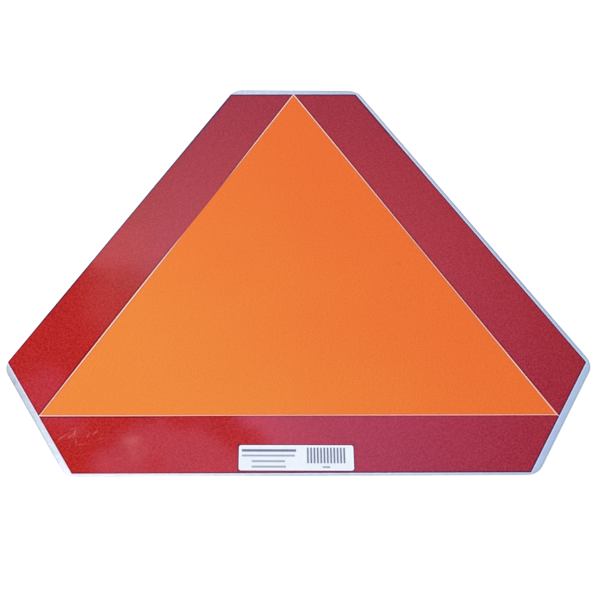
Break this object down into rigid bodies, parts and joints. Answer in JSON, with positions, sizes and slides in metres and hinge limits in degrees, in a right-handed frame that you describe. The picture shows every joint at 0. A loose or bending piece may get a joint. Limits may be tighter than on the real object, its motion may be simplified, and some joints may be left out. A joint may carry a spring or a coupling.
{
  "type": "slow moving vehicle sign",
  "caption": "Flat triangular warning emblem for a slow vehicle: an aluminium plate with cut corners, a fluorescent orange centre, red reflective border strips and a small white label.",
  "frame": {"origin": "middle of the plate's back face, where the perpendiculars from its long sides meet", "axes": "+X along the long bottom side, +Y towards the top corner, +Z out of the face; the sign lies on its back"},
  "size_m": [0.4067, 0.3547, 0.0013],
  "materials": {
    "sheet_metal": "mill finish sheet, cool and slightly satin",
    "orange_film": "fluorescent orange film, matte with a fine grain",
    "red_film": "red reflective sheeting, glossy with a hazy sheen",
    "label_film": "white sticker, smooth"
  },
  "bodies": {
    "root": {"plate": "sheet_metal", "orange_triangle": "orange_film", "red_strip_left": "red_film", "red_strip_bottom": "red_film", "red_strip_right": "red_film", "label": "label_film"}
  },
  "joints": []
}
